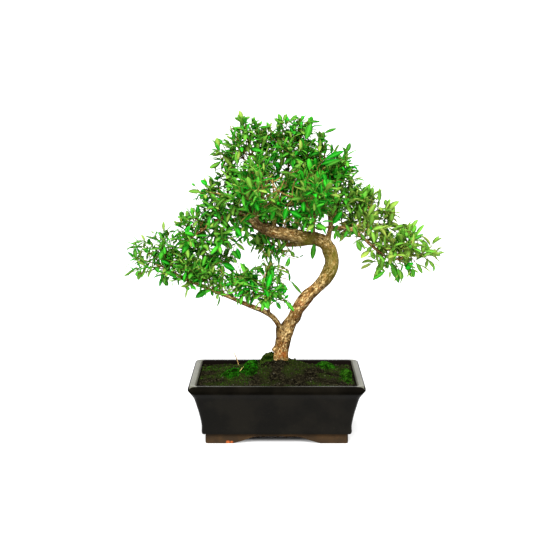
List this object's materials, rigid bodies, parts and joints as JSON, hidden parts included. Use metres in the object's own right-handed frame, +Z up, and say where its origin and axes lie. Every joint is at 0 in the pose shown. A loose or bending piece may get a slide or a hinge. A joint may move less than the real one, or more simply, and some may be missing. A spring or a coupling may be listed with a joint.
{
  "type": "bonsai tree",
  "caption": "Bonsai tree with an S-curved trunk, a long low side branch and a broad leafy crown, in mossy soil in a flared rectangular glazed pot on bracket feet.",
  "frame": {"origin": "bottom centre of the whole tree's outline, on the surface that the pot's feet stand on", "axes": "+Z up, +X to the right as seen from the front, +Y to the back; the low side branch reaches towards -X"},
  "size_m": [0.389, 0.202, 0.396],
  "materials": {
    "glaze": "gloss",
    "soil": "matte",
    "screen": "matte",
    "bark": "matte",
    "moss": "matte",
    "foliage": "satin"
  },
  "bodies": {
    "root": {"drain_screen_left": "screen", "drain_screen_right": "screen", "moss_back_right": "moss", "moss_by_trunk": "moss", "moss_left": "moss", "moss_middle": "moss", "moss_right": "moss", "pot": "glaze", "soil": "soil", "spray_apex_left_1": "foliage", "spray_apex_left_2": "foliage", "spray_apex_left_3": "foliage", "spray_apex_left_4": "foliage", "spray_apex_mid_1": "foliage", "spray_apex_mid_2": "foliage", "spray_apex_mid_3": "foliage", "spray_apex_mid_4": "foliage", "spray_apex_right_1": "foliage", "spray_apex_right_2": "foliage", "spray_apex_right_3": "foliage", "spray_back_left_1": "foliage", "spray_back_left_2": "foliage", "spray_back_left_3": "foliage", "spray_back_right_1": "foliage", "spray_back_right_2": "foliage", "spray_back_right_3": "foliage", "spray_crown_left_1": "foliage", "spray_crown_left_2": "foliage", "spray_crown_left_3": "foliage", "spray_front_left_1": "foliage", "spray_front_left_2": "foliage", "spray_front_left_3": "foliage", "spray_front_right_1": "foliage", "spray_front_right_2": "foliage", "spray_front_right_3": "foliage", "spray_inner_1": "foliage", "spray_inner_2": "foliage", "spray_inner_3": "foliage", "spray_left_inner_1": "foliage", "spray_left_inner_2": "foliage", "spray_left_inner_3": "foliage", "spray_left_outer_1": "foliage", "spray_left_outer_2": "foliage", "spray_left_outer_3": "foliage", "spray_left_outer_4": "foliage", "spray_left_upper_1": "foliage", "spray_left_upper_2": "foliage", "spray_left_upper_3": "foliage", "spray_low_mid_1": "foliage", "spray_right_low_1": "foliage", "spray_right_low_2": "foliage", "spray_right_low_3": "foliage", "spray_right_low_4": "foliage", "spray_right_mid_1": "foliage", "spray_right_mid_2": "foliage", "spray_right_up_1": "foliage", "spray_right_up_2": "foliage", "spray_right_up_3": "foliage", "spray_under_1": "foliage", "trunk_and_limbs": "bark"}
  },
  "joints": []
}
